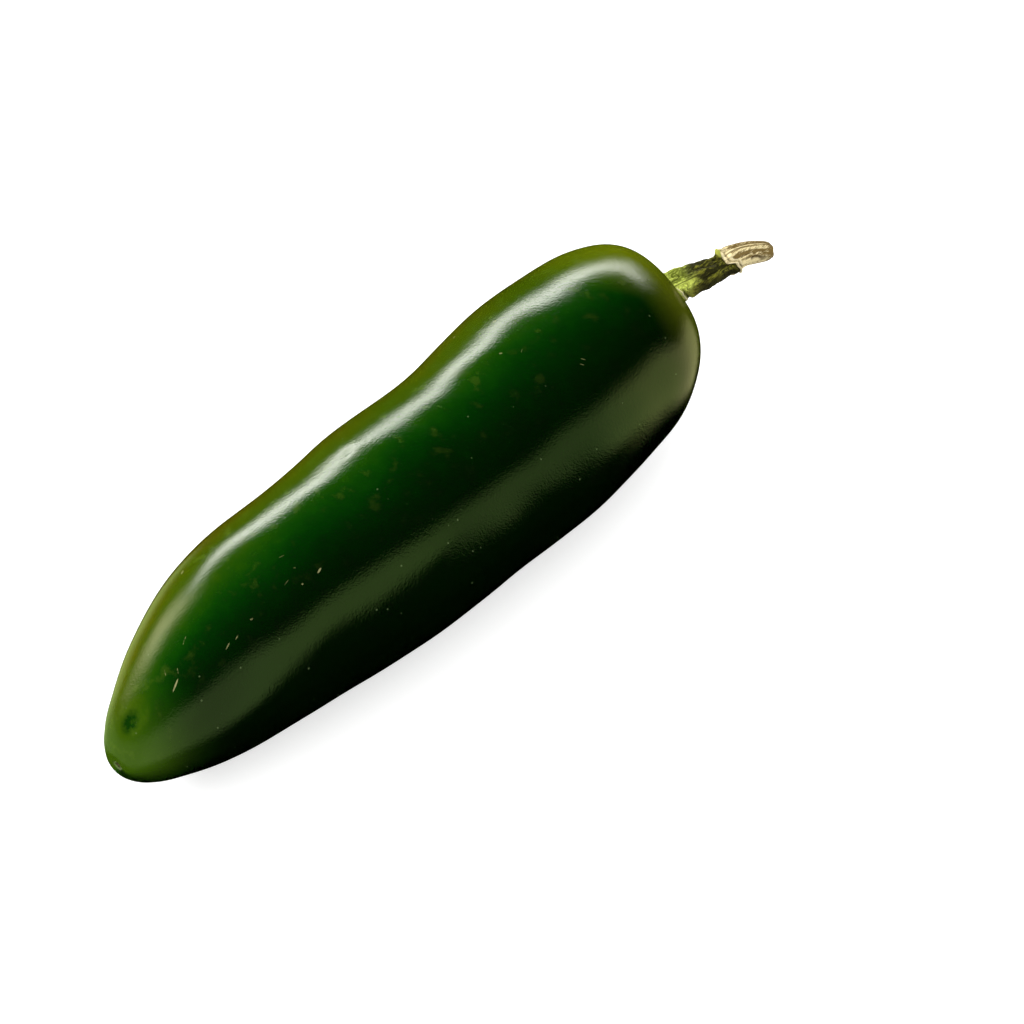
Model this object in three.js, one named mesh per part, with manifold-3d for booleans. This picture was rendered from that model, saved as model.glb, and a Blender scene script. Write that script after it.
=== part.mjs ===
// A green chilli pepper of the jalapeno kind, lying on its belly as picked.
//
// Units are millimetres, +Z is up and the pepper lies along X: the blossom tip is at low X, the
// stem at high X. The origin is on the ground, under the middle of the whole pepper.
// The fruit and its stem are turned shapes that are then bent, lobed and wrinkled by formulas.

import * as THREE from 'three';
import { mergeVertices } from 'three/addons/utils/BufferGeometryUtils.js';
import Module from 'manifold-3d';

// Fruit: length, and the half outline from the tip to the rim of the stem dimple as
// [distance from the tip, radius]
const FRUIT_LENGTH = 105;
const FRUIT_OUTLINE = [
  [0.3, 0], [-0.1, 1.1], [0.3, 2.6], [2, 4.8], [5, 7.0], [11, 9.9], [20, 12.3], [32, 14.2],
  [46, 14.8], [60, 15.2], [74, 15.6], [86, 15.5], [94, 14.7], [100, 12.4], [103.8, 9.6],
];
const RINGS_PER_POINT = 3;
const FRUIT_SIDES = 48;

// Dimple round the stem
const DIMPLE_RADIUS = 6.8;
const DIMPLE_DEPTH = 2.6;
const DIMPLE_STEPS = 4;

// Middle line of the fruit: a gentle S seen from above, given by its sideways place at equal steps
// from the tip to the stem, and a tip that droops towards the ground
const SWAY = [2.4, 1.55, 0.95, -1.15, -1.65, -2.0, -1.05, -0.4];
const BELLY_HEIGHT = 15.2;
const TIP_DROOP = 7.3;
const TIP_DROOP_LENGTH = 18.5;

// Lobes of the fruit, as shares of its radius at the tip and at the shoulders
const LOBES = 3;
const LOBE_TURN = 1.15;
const LOBE_AT_TIP = 0.008;
const LOBE_AT_SHOULDERS = 0.05;
const LOBE_GROWTH_POWER = 3;

// Slow swells along one side of the fruit: their height, wave length and start, the angle at which
// they are highest, and the radius below which they fade out
const SWELL_HEIGHT = 0.45;
const SWELL_WAVE = 28.8;
const SWELL_START = 0.22;
const SWELL_ANGLE = 0.53;
const SWELL_FADE_RADIUS = 6;

// Calyx: the green cap in the dimple, which the stem grows from
const CALYX_RADIUS = 5.6;
const CALYX_THICKNESS = 0.9;
const CALYX_GAP = 0.35;
const CALYX_TEETH = 5;
const CALYX_TOOTH = 0.07;
const CALYX_TOOTH_POWER = 3;
const CALYX_TOP_SHARE = 0.97;
const CALYX_STEPS = 5;
const CALYX_SIDES = 40;

// Stem: its middle line from inside the calyx as [distance from the tip, sideways, height], its
// radius as [distance along the stem, radius], and its ribs as shares of the radius
const STEM_LINE = [
  [103.4, -0.5, 15.3], [106.3, -0.8, 15.7], [109.3, -1.5, 16.0], [113, -2.8, 16.0],
  [116.6, -3.9, 15.9], [119.2, -4.4, 16.2], [121.6, -5.2, 16.0], [124.8, -7.2, 15.5],
];
const STEM_OUTLINE = [
  [0, 0], [0, 1.8], [1.3, 2.9], [2.6, 2.6], [5, 2.5], [8, 2.3], [12, 1.9], [14.4, 1.75],
  [15.6, 2.05], [17.5, 1.8], [20.5, 1.6], [22.5, 1.2], [22.9, 0],
];
const STEM_RINGS_PER_POINT = 4;
const STEM_SIDES = 24;
const RIBS = 5;
const RIB_HEIGHT = 0.1;
const RIB_TWIST = 0.15;

// Wrinkles of the stem: their height as a share of its radius, and two slanting waves, each given
// by its waves round the stem and its slant in radians a millimetre
const WRINKLE_HEIGHT = 0.05;
const WRINKLE_WAVES = [3, 2];
const WRINKLE_SLANTS = [-1.7, 0.9];

// Torn flake on the upper side of the stem, where the green skin ends and the dry wood begins
const FLAKE_AT = 14.2;
const FLAKE_LENGTH = 0.7;
const FLAKE_HEIGHT = 0.9;
const FLAKE_ANGLE = Math.PI / 2;
const FLAKE_SPREAD = 0.5;

const MERGE_DISTANCE = 1e-4;

const wasm = await Module();
wasm.setup();

// A closed solid from a geometry, with its shared corners merged and its faces turned outwards
function solid(geometry) {
  const bare = geometry.clone();
  bare.deleteAttribute('normal');
  bare.deleteAttribute('uv');
  const merged = mergeVertices(bare, MERGE_DISTANCE);
  const index = merged.index.array;
  const place = merged.attributes.position.array;
  const corner = (i) => new THREE.Vector3().fromArray(place, 3 * i);
  const faces = [];
  let volume = 0;
  for (let i = 0; i < index.length; i += 3) {
    const [a, b, c] = [index[i], index[i + 1], index[i + 2]];
    if (a !== b && b !== c && c !== a) {
      faces.push([a, b, c]);
      volume += corner(a).dot(corner(b).cross(corner(c)));
    }
  }
  const outward = volume > 0 ? faces : faces.map(([a, b, c]) => [a, c, b]);
  return new wasm.Manifold(new wasm.Mesh({
    numProp: 3,
    vertProperties: new Float32Array(place),
    triVerts: new Uint32Array(outward.flat()),
  }));
}

function geometryOf(body) {
  const { vertProperties, triVerts } = body.getMesh();
  const geometry = new THREE.BufferGeometry();
  geometry.setAttribute('position', new THREE.BufferAttribute(vertProperties, 3));
  geometry.setIndex(new THREE.BufferAttribute(triVerts, 1));
  geometry.computeVertexNormals();
  return geometry;
}

// A turned shape about the axis, with each corner moved to place(distance along, radius, angle)
function turned(outline, rings, sides, place) {
  const curve = new THREE.SplineCurve(outline.map(([along, radius]) => new THREE.Vector2(radius, along)));
  const points = curve.getPoints(rings * (outline.length - 1));
  const geometry = new THREE.LatheGeometry(points, sides);
  const position = geometry.attributes.position;
  for (let i = 0; i < position.count; i += 1) {
    const radius = Math.hypot(position.getX(i), position.getZ(i));
    const angle = Math.atan2(position.getX(i), position.getZ(i));
    const moved = place(position.getY(i), radius, angle);
    position.setXYZ(i, moved.x, moved.y, moved.z);
  }
  return solid(geometry);
}

// Height of the dimple's floor, as a distance from the tip, at a radius from the stem
function dimpleFloor(radius) {
  return FRUIT_LENGTH - DIMPLE_DEPTH * (1 + Math.cos(Math.PI * radius / DIMPLE_RADIUS)) / 2;
}

const sway = new THREE.SplineCurve(SWAY.map((sideways, step) => new THREE.Vector2(step, sideways)));

// A place in the fruit: its swelling, lobed ring round the swaying, drooping middle line
function inFruit(along, radius, angle) {
  const share = THREE.MathUtils.clamp(along / FRUIT_LENGTH, 0, 1);
  const sideways = sway.getPoint(share).y;
  const height = BELLY_HEIGHT - TIP_DROOP * Math.exp(-along / TIP_DROOP_LENGTH);
  const facing = (1 + Math.cos(angle - SWELL_ANGLE)) / 2 * Math.min(1, radius / SWELL_FADE_RADIUS);
  const swell = SWELL_HEIGHT * Math.sin(2 * Math.PI * along / SWELL_WAVE + SWELL_START);
  const lobe = THREE.MathUtils.lerp(LOBE_AT_TIP, LOBE_AT_SHOULDERS, share ** LOBE_GROWTH_POWER);
  const lobed = (radius - swell * facing) * (1 + lobe * Math.cos(LOBES * (angle - LOBE_TURN)));
  return new THREE.Vector3(
    along,
    sideways + lobed * Math.cos(angle),
    height + lobed * Math.sin(angle),
  );
}

function makeFruit() {
  const dimple = [];
  for (let step = DIMPLE_STEPS; step >= 0; step -= 1) {
    const radius = DIMPLE_RADIUS * step / DIMPLE_STEPS;
    dimple.push([dimpleFloor(radius), radius]);
  }
  const body = turned([...FRUIT_OUTLINE, ...dimple], RINGS_PER_POINT, FRUIT_SIDES, inFruit);
  const ground = new THREE.BoxGeometry(2 * FRUIT_LENGTH, FRUIT_LENGTH, FRUIT_LENGTH);
  ground.translate(FRUIT_LENGTH / 2, 0, -FRUIT_LENGTH / 2);
  return body.subtract(solid(ground));
}

// The calyx lies in the dimple: its underside and its top follow the dimple's floor
function makeCalyx() {
  const under = [];
  const top = [];
  for (let step = 0; step <= CALYX_STEPS; step += 1) {
    const radius = CALYX_RADIUS * step / CALYX_STEPS;
    under.push([CALYX_GAP, radius]);
    top.unshift([CALYX_GAP + CALYX_THICKNESS, radius * CALYX_TOP_SHARE]);
  }
  const place = (lift, radius, angle) => {
    const edge = (radius / CALYX_RADIUS) ** CALYX_TOOTH_POWER;
    const toothed = radius * (1 + CALYX_TOOTH * edge * Math.cos(CALYX_TEETH * angle));
    return inFruit(dimpleFloor(toothed) + lift, toothed, angle);
  };
  return turned([...under, ...top], 1, CALYX_SIDES, place);
}

// The stem is a turned shape with ribs, wrinkles and a flake, carried along its own middle line
function makeStem() {
  const line = new THREE.CatmullRomCurve3(STEM_LINE.map((point) => new THREE.Vector3(...point)));
  const length = line.getLength();
  const up = new THREE.Vector3(0, 0, 1);
  const place = (along, radius, angle) => {
    const share = THREE.MathUtils.clamp(along / length, 0, 1);
    const middle = line.getPointAt(share);
    const ahead = line.getTangentAt(share);
    const across = new THREE.Vector3().crossVectors(up, ahead).normalize();
    const above = new THREE.Vector3().crossVectors(ahead, across);
    const rib = RIB_HEIGHT * Math.cos(RIBS * angle + RIB_TWIST * along);
    const [wave, crossing] = WRINKLE_WAVES.map((waves, i) => waves * angle + WRINKLE_SLANTS[i] * along);
    const wrinkle = WRINKLE_HEIGHT * Math.sin(wave) * Math.cos(crossing);
    const flake = FLAKE_HEIGHT
      * Math.exp(-(((along - FLAKE_AT) / FLAKE_LENGTH) ** 2))
      * Math.exp(-(((angle - FLAKE_ANGLE) / FLAKE_SPREAD) ** 2));
    const ribbed = radius * (1 + rib + wrinkle) + flake * Math.min(1, radius);
    return middle
      .addScaledVector(across, ribbed * Math.cos(angle))
      .addScaledVector(above, ribbed * Math.sin(angle));
  };
  return turned(STEM_OUTLINE, STEM_RINGS_PER_POINT, STEM_SIDES, place);
}

const skin = new THREE.MeshStandardMaterial({ color: 0x16330a, roughness: 0.22, metalness: 0 });
const stalk = new THREE.MeshStandardMaterial({ color: 0x8a8a4a, roughness: 0.75, metalness: 0 });

const fruit = new THREE.Mesh(geometryOf(makeFruit()), skin);
fruit.name = 'pod';

const stem = new THREE.Mesh(geometryOf(makeCalyx().add(makeStem())), stalk);
stem.name = 'stem';

// The origin goes to the ground under the middle of the whole pepper
const group = new THREE.Group();
group.add(fruit, stem);
const box = new THREE.Box3().setFromObject(group);
const middle = box.getCenter(new THREE.Vector3());
group.position.set(-middle.x, -middle.y, -box.min.z);

export default group;
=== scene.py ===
# %% [markdown]
# # A green chilli pepper
#
# The pepper is a slim, waxy, dark green fruit with a short stalk. It lies on its belly on a pale
# table, seen from above its tip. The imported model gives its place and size. Here the two solids get
# a fine surface and a finish: a smooth skin with a soft grain, scuffs and small dents, and a stalk
# that goes from wrinkled green to dry tan wood.

import math

import bpy
import numpy as np
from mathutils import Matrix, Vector


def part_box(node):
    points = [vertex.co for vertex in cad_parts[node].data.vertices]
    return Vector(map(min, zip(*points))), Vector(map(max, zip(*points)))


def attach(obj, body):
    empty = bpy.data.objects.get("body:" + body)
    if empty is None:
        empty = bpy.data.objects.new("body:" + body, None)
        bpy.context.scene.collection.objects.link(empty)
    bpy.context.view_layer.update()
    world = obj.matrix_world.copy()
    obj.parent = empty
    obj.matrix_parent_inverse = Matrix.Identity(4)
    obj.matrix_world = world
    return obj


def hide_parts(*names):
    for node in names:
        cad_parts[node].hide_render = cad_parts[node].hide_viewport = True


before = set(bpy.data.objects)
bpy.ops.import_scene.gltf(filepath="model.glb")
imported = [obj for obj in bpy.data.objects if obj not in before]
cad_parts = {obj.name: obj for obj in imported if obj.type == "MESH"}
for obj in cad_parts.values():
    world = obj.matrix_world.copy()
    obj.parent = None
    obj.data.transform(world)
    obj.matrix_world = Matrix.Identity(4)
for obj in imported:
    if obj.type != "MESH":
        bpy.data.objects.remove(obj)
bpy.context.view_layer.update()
print("nodes", sorted(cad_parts))

# %% [markdown]
# ## Measures
#
# Everything below is worked out in millimetres from the tip of the fruit, as a grower would measure
# it, and turned into metres and moved under the frame's origin at the end. The fruit is 105 mm long
# and 31 mm thick at its shoulders. A short list of radii, joined by a smooth curve, is easier to
# read and to change than a sculpted mesh.

# %% The measures of the fruit
MM = 0.001
FRUIT_LENGTH = 105.0
FRUIT_OUTLINE = [
    # distance from the tip, radius
    (0.3, 0), (-0.1, 1.1), (0.3, 2.6), (2, 4.8), (5, 7.0), (11, 9.9), (20, 12.3), (32, 14.2),
    (46, 14.8), (60, 15.2), (74, 15.6), (86, 15.5), (94, 14.7), (100, 12.4), (103.8, 9.6),
]
DIMPLE_RADIUS = 6.8
DIMPLE_DEPTH = 2.6
# The middle line: sideways places at even steps, and how high it runs and droops at the tip
SWAY = [2.4, 1.55, 0.95, -1.15, -1.65, -2.0, -1.05, -0.4]
BELLY_HEIGHT = 15.2
TIP_DROOP = 7.3
TIP_DROOP_LENGTH = 18.5
print("fruit", FRUIT_LENGTH, "mm long,", 2 * max(r for _, r in FRUIT_OUTLINE), "mm thick")

# %% The swells and lobes of the fruit
SWELL_HEIGHT = 0.45
SWELL_WAVE = 28.8
SWELL_START = 0.22
SWELL_ANGLE = 0.53
SWELL_FADE_RADIUS = 6.0
LOBES = 3
LOBE_TURN = 1.15
LOBE_AT_TIP = 0.008
LOBE_AT_SHOULDERS = 0.05
LOBE_GROWTH_POWER = 3
print("lobes", LOBES, "up to", LOBE_AT_SHOULDERS, "of the radius")

# %% The measures of the stalk and its calyx
CALYX_RADIUS = 5.6
CALYX_THICKNESS = 0.9
CALYX_GAP = 0.35
CALYX_TEETH = 5
CALYX_TOOTH = 0.07
CALYX_TOOTH_POWER = 3
STEM_LINE = [
    # distance from the tip, sideways, height
    (103.4, -0.5, 15.3), (106.3, -0.8, 15.7), (109.3, -1.5, 16.0), (113, -2.8, 16.0),
    (116.6, -3.9, 15.9), (119.2, -4.4, 16.2), (121.6, -5.2, 16.0), (124.8, -7.2, 15.5),
]
STEM_OUTLINE = [
    # distance along the stalk, radius
    (1.3, 2.9), (2.6, 2.6), (5, 2.5), (8, 2.3), (12, 1.9), (14.4, 1.75),
    (15.6, 2.05), (17.5, 1.8), (20.5, 1.6), (22.5, 1.2), (22.9, 0),
]
print("stalk", STEM_OUTLINE[-1][0], "mm long")

# %% [markdown]
# ## Helpers for surfaces
#
# A turned shape is a grid: one parameter runs along the outline, the other round it. The outline is
# a Catmull-Rom curve, which passes through each of its points. A grid that closes on itself needs
# one corner at each pole, so the first and the last ring are joined to a single point.


# %% A smooth curve through points
def smooth_curve(points, t):
    """Catmull-Rom: on each stretch a cubic whose slope at a point is half the step between its
    two neighbours. t runs from 0 to 1 over all stretches, each of them taking the same share."""
    points = np.asarray(points, float)
    last = len(points) - 1
    place = np.clip(t, 0, 1) * last
    i = np.minimum(place.astype(int), last - 1)
    w = (place - i)[..., None]
    before, here = points[np.maximum(i - 1, 0)], points[i]
    there, after = points[i + 1], points[np.minimum(i + 2, last)]
    slope_here = (there - before) / 2
    slope_there = (after - here) / 2
    cubic = 2 * here - 2 * there + slope_here + slope_there
    square = -3 * here + 3 * there - 2 * slope_here - slope_there
    return ((cubic * w + square) * w + slope_here) * w + here


# %% Angles, steps and bells
def around(angle, middle):
    """How far an angle is from another, given in degrees, the short way round, in radians."""
    return np.angle(np.exp(1j * (angle - math.radians(middle))))


def step(value, low, high):
    """A smooth step from 0 at low to 1 at high."""
    share = np.clip((value - low) / (high - low), 0, 1)
    return share * share * (3 - 2 * share)


def bell(value, width):
    """1 where the value is 0, falling off on both sides as e to minus the square of value / width."""
    return np.exp(-(value / width) ** 2)


# %% From a grid to a closed mesh
def signed_volume(mesh):
    """The sum over triangles of corner a . (b x c) / 6, which is above zero when faces point out."""
    mesh.calc_loop_triangles()
    corners = np.zeros(len(mesh.vertices) * 3)
    mesh.vertices.foreach_get("co", corners)
    triangles = np.zeros(len(mesh.loop_triangles) * 3, int)
    mesh.loop_triangles.foreach_get("vertices", triangles)
    a, b, c = corners.reshape(-1, 3)[triangles.reshape(-1, 3)].transpose(1, 0, 2)
    return float((a * np.cross(b, c)).sum() / 6)


def closed_mesh(name, grid, attributes):
    """A grid of rings by sides becomes a mesh: quads between neighbouring rings, and a fan from
    the middle of the first and of the last ring, which are poles. Each attribute is a grid of
    numbers that the corners carry for the material."""
    rings, sides, _ = grid.shape
    inner = grid[1:-1].reshape(-1, 3)
    corners = np.concatenate([inner, grid[0].mean(0)[None], grid[-1].mean(0)[None]])
    ring = np.arange(rings - 3)[:, None] * sides
    side = np.arange(sides)[None, :]
    after = (side + 1) % sides
    quads = np.stack([ring + side, ring + after, ring + sides + after, ring + sides + side], -1)
    first, last = len(inner), len(inner) + 1
    start = np.stack([np.full(sides, first), after[0], side[0]], -1)
    end_ring = (rings - 3) * sides
    end = np.stack([np.full(sides, last), end_ring + side[0], end_ring + after[0]], -1)
    faces = quads.reshape(-1, 4).tolist() + start.tolist() + end.tolist()
    mesh = bpy.data.meshes.new(name)
    mesh.from_pydata(corners.tolist(), [], faces)
    for key, values in attributes.items():
        layer = mesh.attributes.new(key, "FLOAT", "POINT")
        poles = [values[0, 0], values[-1, 0]]
        numbers = np.concatenate([values[1:-1].reshape(-1), poles])
        layer.data.foreach_set("value", numbers.astype(np.float32))
    mesh.polygons.foreach_set("use_smooth", np.ones(len(mesh.polygons), bool))
    piece = bpy.data.objects.new(name, mesh)
    bpy.context.scene.collection.objects.link(piece)
    volume = signed_volume(mesh)
    if volume < 0:
        mesh.flip_normals()
    print(name, len(corners), "corners,", round(abs(volume) * 1e6, 2), "cubic centimetres")
    return piece


# %% [markdown]
# ## The fruit
#
# The skin is taut, so its form is calm: three weak lobes that grow towards the shoulders, a slow
# waviness that a mirror-like skin shows at once, a few shallow dents and swells, and the scar of the
# blossom. Each is a formula added to the radius, so the whole surface stays one clean grid.


# %% The form of the fruit
def dimple_floor(radius):
    """The hollow round the stalk is half a cosine wave deep."""
    return FRUIT_LENGTH - DIMPLE_DEPTH * (1 + np.cos(np.pi * radius / DIMPLE_RADIUS)) / 2


def in_fruit(along, radius, angle):
    """A ring round a middle line that sways by a smooth curve and droops towards the tip as an
    exponential. The ring swells in slow waves on one side, and three times round as lobes."""
    share = np.clip(along / FRUIT_LENGTH, 0, 1)
    sideways = smooth_curve([(0, side) for side in SWAY], share)[..., 1]
    height = BELLY_HEIGHT - TIP_DROOP * np.exp(-along / TIP_DROOP_LENGTH)
    facing = (1 + np.cos(angle - SWELL_ANGLE)) / 2 * np.minimum(1, radius / SWELL_FADE_RADIUS)
    swell = SWELL_HEIGHT * np.sin(2 * np.pi * along / SWELL_WAVE + SWELL_START)
    lobe = LOBE_AT_TIP + (LOBE_AT_SHOULDERS - LOBE_AT_TIP) * share ** LOBE_GROWTH_POWER
    lobed = (radius - swell * facing) * (1 + lobe * np.cos(LOBES * (angle - LOBE_TURN)))
    return np.stack([along, sideways + lobed * np.cos(angle), height + lobed * np.sin(angle)], -1)


# %% Slow waves of the skin
WAVES = [
    # height, radians a millimetre along, waves round, start
    (0.09, 0.075, 2, 0.3), (0.05, 0.17, 3, 1.9), (0.035, 0.31, 4, 4.0), (0.018, 0.62, 7, 2.2),
]
START_ROUND = 1.3


def waviness(along, angle):
    """Products of a sine along the fruit and a cosine round it, in millimetres, whose wave lengths
    never line up. The cosine's start is the sine's times a number of its own."""
    total = 0
    for height, per_mm, round_it, start in WAVES:
        round_wave = np.cos(round_it * angle + START_ROUND * start)
        total = total + height * np.sin(per_mm * along + start) * round_wave
    return total


print("waves", len(WAVES), "the highest", WAVES[0][0], "mm")

# %% Dents and low swells
DENTS = [
    # along, angle in degrees, half length, half width, depth, which is below 0 for a swell
    (3.1, 89, 1.5, 1.2, 0.40),
    (46.0, 72, 0.7, 0.55, 0.13),
    (48.0, 74, 0.8, 0.9, -0.04),
    (2.3, 9, 0.5, 0.45, 0.20),
    (12.6, 84, 2.6, 1.8, 0.06),
    (70.0, 83, 3.5, 3.0, -0.17),
    (60.4, 88, 3.0, 3.0, -0.13),
    (39.2, 85, 4.0, 3.2, -0.20),
]
SMALLEST_RADIUS = 0.5


def dents(along, radius, angle):
    """Each dent is a bell curve in the distance along and round the skin."""
    total = 0
    for at, turn, half_length, half_width, depth in DENTS:
        away = around(angle, turn) * np.maximum(radius, SMALLEST_RADIUS)
        total = total + depth * bell(along - at, half_length) * bell(away, half_width)
    return total


print("dents", sum(d[-1] > 0 for d in DENTS), "and swells", sum(d[-1] < 0 for d in DENTS))

# %% Rings at even steps
FRUIT_RINGS = 430
FRUIT_SIDES = 224
RING_CROWDING = 2.0
RING_REACH = 6.0
FINE_STEPS = 6000


def even_rings(points, rings, crowding, reach):
    """Rings along an outline at even steps of its length, but closer near its start: the step
    grows from 1 / (1 + crowding) to 1 share as an exponential of that reach."""
    fine = smooth_curve(points, np.linspace(0, 1, FINE_STEPS))
    length = np.concatenate([[0], np.cumsum(np.linalg.norm(np.diff(fine, axis=0), axis=1))])
    count = np.cumsum(1 + crowding * np.exp(-length / reach))
    wanted = np.linspace(count[0], count[-1], rings)
    return np.stack([np.interp(wanted, count, fine[:, k]) for k in range(2)], -1)


hollow = [(float(dimple_floor(r)), float(r)) for r in np.linspace(DIMPLE_RADIUS, 0, 5)]
outline = even_rings(FRUIT_OUTLINE + hollow, FRUIT_RINGS, RING_CROWDING, RING_REACH)
print("rings", FRUIT_RINGS, "first step", np.round(np.hypot(*(outline[1] - outline[0])), 3), "mm")

# %% The grid of the fruit
CALM_RADIUS = 4

turn = np.linspace(0, 2 * np.pi, FRUIT_SIDES, endpoint=False)
along = np.repeat(outline[:, :1], FRUIT_SIDES, 1)
radius = np.repeat(np.maximum(outline[:, 1:], 0), FRUIT_SIDES, 1)
angle = np.broadcast_to(turn, along.shape)
relief = waviness(along, angle) - dents(along, radius, angle)
calm = np.clip(radius / CALM_RADIUS, 0, 1)
fruit_grid = in_fruit(along, radius + relief * calm, angle)
fruit_grid[..., 2] = np.maximum(fruit_grid[..., 2], 0)

own_middle = (fruit_grid.reshape(-1, 3).min(0) + fruit_grid.reshape(-1, 3).max(0)) / 2
cad_low, cad_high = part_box("pod")
shift = (np.array(cad_low) + np.array(cad_high)) / 2 / MM - own_middle
shift[2] = 0
print("shift from the fruit's own measures to the frame", np.round(shift, 2), "mm")

# %% [markdown]
# ## Where the skin changes
#
# The skin's colour holds painted light and shade round the fruit: yellow-olive on the side that the
# softbox lights, and deep green to near black on the shaded side and underside. The olive round the
# stalk is the pepper's own, in a lit and a shaded copy, and the fresh green at the tip is lifted as
# painted light. Three numbers at each corner of the mesh say how far round and how near to either
# end a place is, so the material can follow the fruit's own form, which a pattern in space can't.

# %% The lit side for painted light and shade, shoulders and tip
PAINTED_LIGHT_SIDE = 30
SHOULDER_MIDDLE = 55
SHOULDER_END = 101.5
TIP_FADE = 4.8
# The middle of the side that faces up and away from the table, opposite the underside
LIT_SIDE = 60


def painted_shade_share(along, angle):
    """How far round a place is from the lit side, as a share of half a turn, over which the colour
    ramp paints light and shade. It counts about half at the very tip and in full from 10 mm on, and
    a tenth less at the shoulders."""
    share = np.abs(around(angle, PAINTED_LIGHT_SIDE)) / np.pi
    share = share * (0.55 + 0.45 * np.clip(along / 10, 0, 1))
    return share * (1 - 0.10 * np.clip((along - 84) / 12, 0, 1))


def shoulder_share(along, angle):
    """A power of the way from where the olive begins to the shoulders' end. It begins 85 mm from
    the tip on the sunny side and later beside it, comes in more slowly on the hidden side, and
    fades towards the underside in a straight line."""
    away = np.abs(around(angle, SHOULDER_MIDDLE))
    hidden = step(away, 1.0, 1.8)
    start = 85 + 9.5 * np.clip((away - 0.35) / 0.7, 0, 1) - 2.3 * hidden
    start = start - 7 * step(away, 1.9, 2.7)
    share = np.clip((along - start) / (SHOULDER_END - start), 0, 1) ** (1.4 + 0.6 * hidden)
    return share * np.clip(1.3 - np.abs(around(angle, 90)) / 2.2, 0, 1)


def tip_green_and_painted_light(along, angle):
    """A bell curve from the tip, a tenth as strong on the side that faces the table: the tip's green
    is lifted as painted light and kept off the underside as painted shade.
    """
    downward = step(-np.cos(angle - math.radians(LIT_SIDE)), 0.1, 0.85)
    return bell(along, TIP_FADE) * (1 - 0.9 * downward)


# %% Make the fruit
skin_piece = closed_mesh("fruit_skin", (fruit_grid + shift) * MM, {
    # side sets the painted light and shade round the fruit
    "side": painted_shade_share(along, angle),
    "shoulder": shoulder_share(along, angle),
    "tip": tip_green_and_painted_light(along, angle),
})

# %% [markdown]
# ## The stalk
#
# The stalk and its calyx grew as one, so they are one grid too. Its outline starts under the calyx,
# goes round the calyx's edge and up the stalk to its broken end. The calyx lies in the dimple, and
# the stalk follows its own line. Real folds run lengthwise and never quite straight. Here they are
# the lines where seeded values change sign, which wander and join as real ones do.

# %% The stalk's own line
LINE_STEPS = 600


def stem_frame(distance):
    """The stalk's middle, and two directions square to it, at each distance along its line."""
    line = smooth_curve(STEM_LINE, np.linspace(0, 1, LINE_STEPS))
    paces = np.linalg.norm(np.diff(line, axis=0), axis=1)
    length = np.concatenate([[0], np.cumsum(paces)])
    middle = np.stack([np.interp(distance, length, line[:, k]) for k in range(3)], -1)
    slope = np.gradient(line, length, axis=0)
    ahead = np.stack([np.interp(distance, length, slope[:, k]) for k in range(3)], -1)
    ahead /= np.linalg.norm(ahead, axis=-1, keepdims=True)
    beyond = np.maximum(distance - length[-1], 0)
    middle = middle + ahead * beyond[..., None]
    across = np.cross([0.0, 0.0, 1.0], ahead)
    across /= np.linalg.norm(across, axis=-1, keepdims=True)
    above = np.cross(ahead, across)
    return middle, across, above


# %% Seeded values round the stalk
LATTICE_ROWS = 64


def lattice(seed, cells, per_mm, distance, angle):
    """Seeded values at the corners of a grid, so many cells round the stalk and so many a
    millimetre along it, joined by smooth steps in both directions."""
    values = np.random.default_rng(seed).uniform(-1, 1, (LATTICE_ROWS, cells))
    row = np.clip(distance * per_mm, 0, LATTICE_ROWS - 2)
    column = angle / (2 * np.pi) * cells
    i, j = np.floor(row).astype(int), np.floor(column).astype(int)
    v, u = row - i, column - j
    v, u = v * v * (3 - 2 * v), u * u * (3 - 2 * u)
    here = values[i, j % cells] * (1 - u) + values[i, (j + 1) % cells] * u
    beyond = values[i + 1, j % cells] * (1 - u) + values[i + 1, (j + 1) % cells] * u
    return here * (1 - v) + beyond * v


# %% The fresh green stretch
def green_stretch(distance, angle):
    """Relief, folds and tone of the green skin. The relief is a share of the radius: seeded swells
    in four sizes, less a groove along each fold. A fold is a bell across a zero line of a swell.
    The tone rises with the swells, which paints light on the ridges."""
    bent = angle + 0.22 * np.sin(0.55 * distance + 1) + 0.10 * lattice(15, 5, 0.6, distance, angle)
    broad = lattice(11, 11, 0.16, distance, bent)
    fine = lattice(12, 25, 0.50, distance, bent)
    tiny = lattice(13, 37, 1.3, distance, bent)
    cross = lattice(14, 4, 1.3, distance, angle)
    fold = np.maximum(bell(broad, 0.10), 0.75 * bell(fine, 0.12))
    fold = np.maximum(fold, 0.55 * bell(cross, 0.07))
    fold = np.maximum(fold, 0.45 * bell(tiny, 0.14))
    wrinkles = 0.05 * np.sin(3 * angle - 1.7 * distance) * np.cos(2 * angle + 0.9 * distance)
    relief = wrinkles + 0.07 * broad + 0.05 * fine + 0.025 * tiny + 0.02 * cross - 0.09 * fold
    tone = 0.5 + 0.55 * broad + 0.35 * fine + 0.25 * tiny
    return relief, fold, tone


# %% The dry wood
CRACK_ANGLE = 163
CRACK_OPENS = (18.3, 19.0)
CRACK_CLOSES = (21.9, 21.2)
BROKEN_END = (21.3, 22.4)


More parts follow.
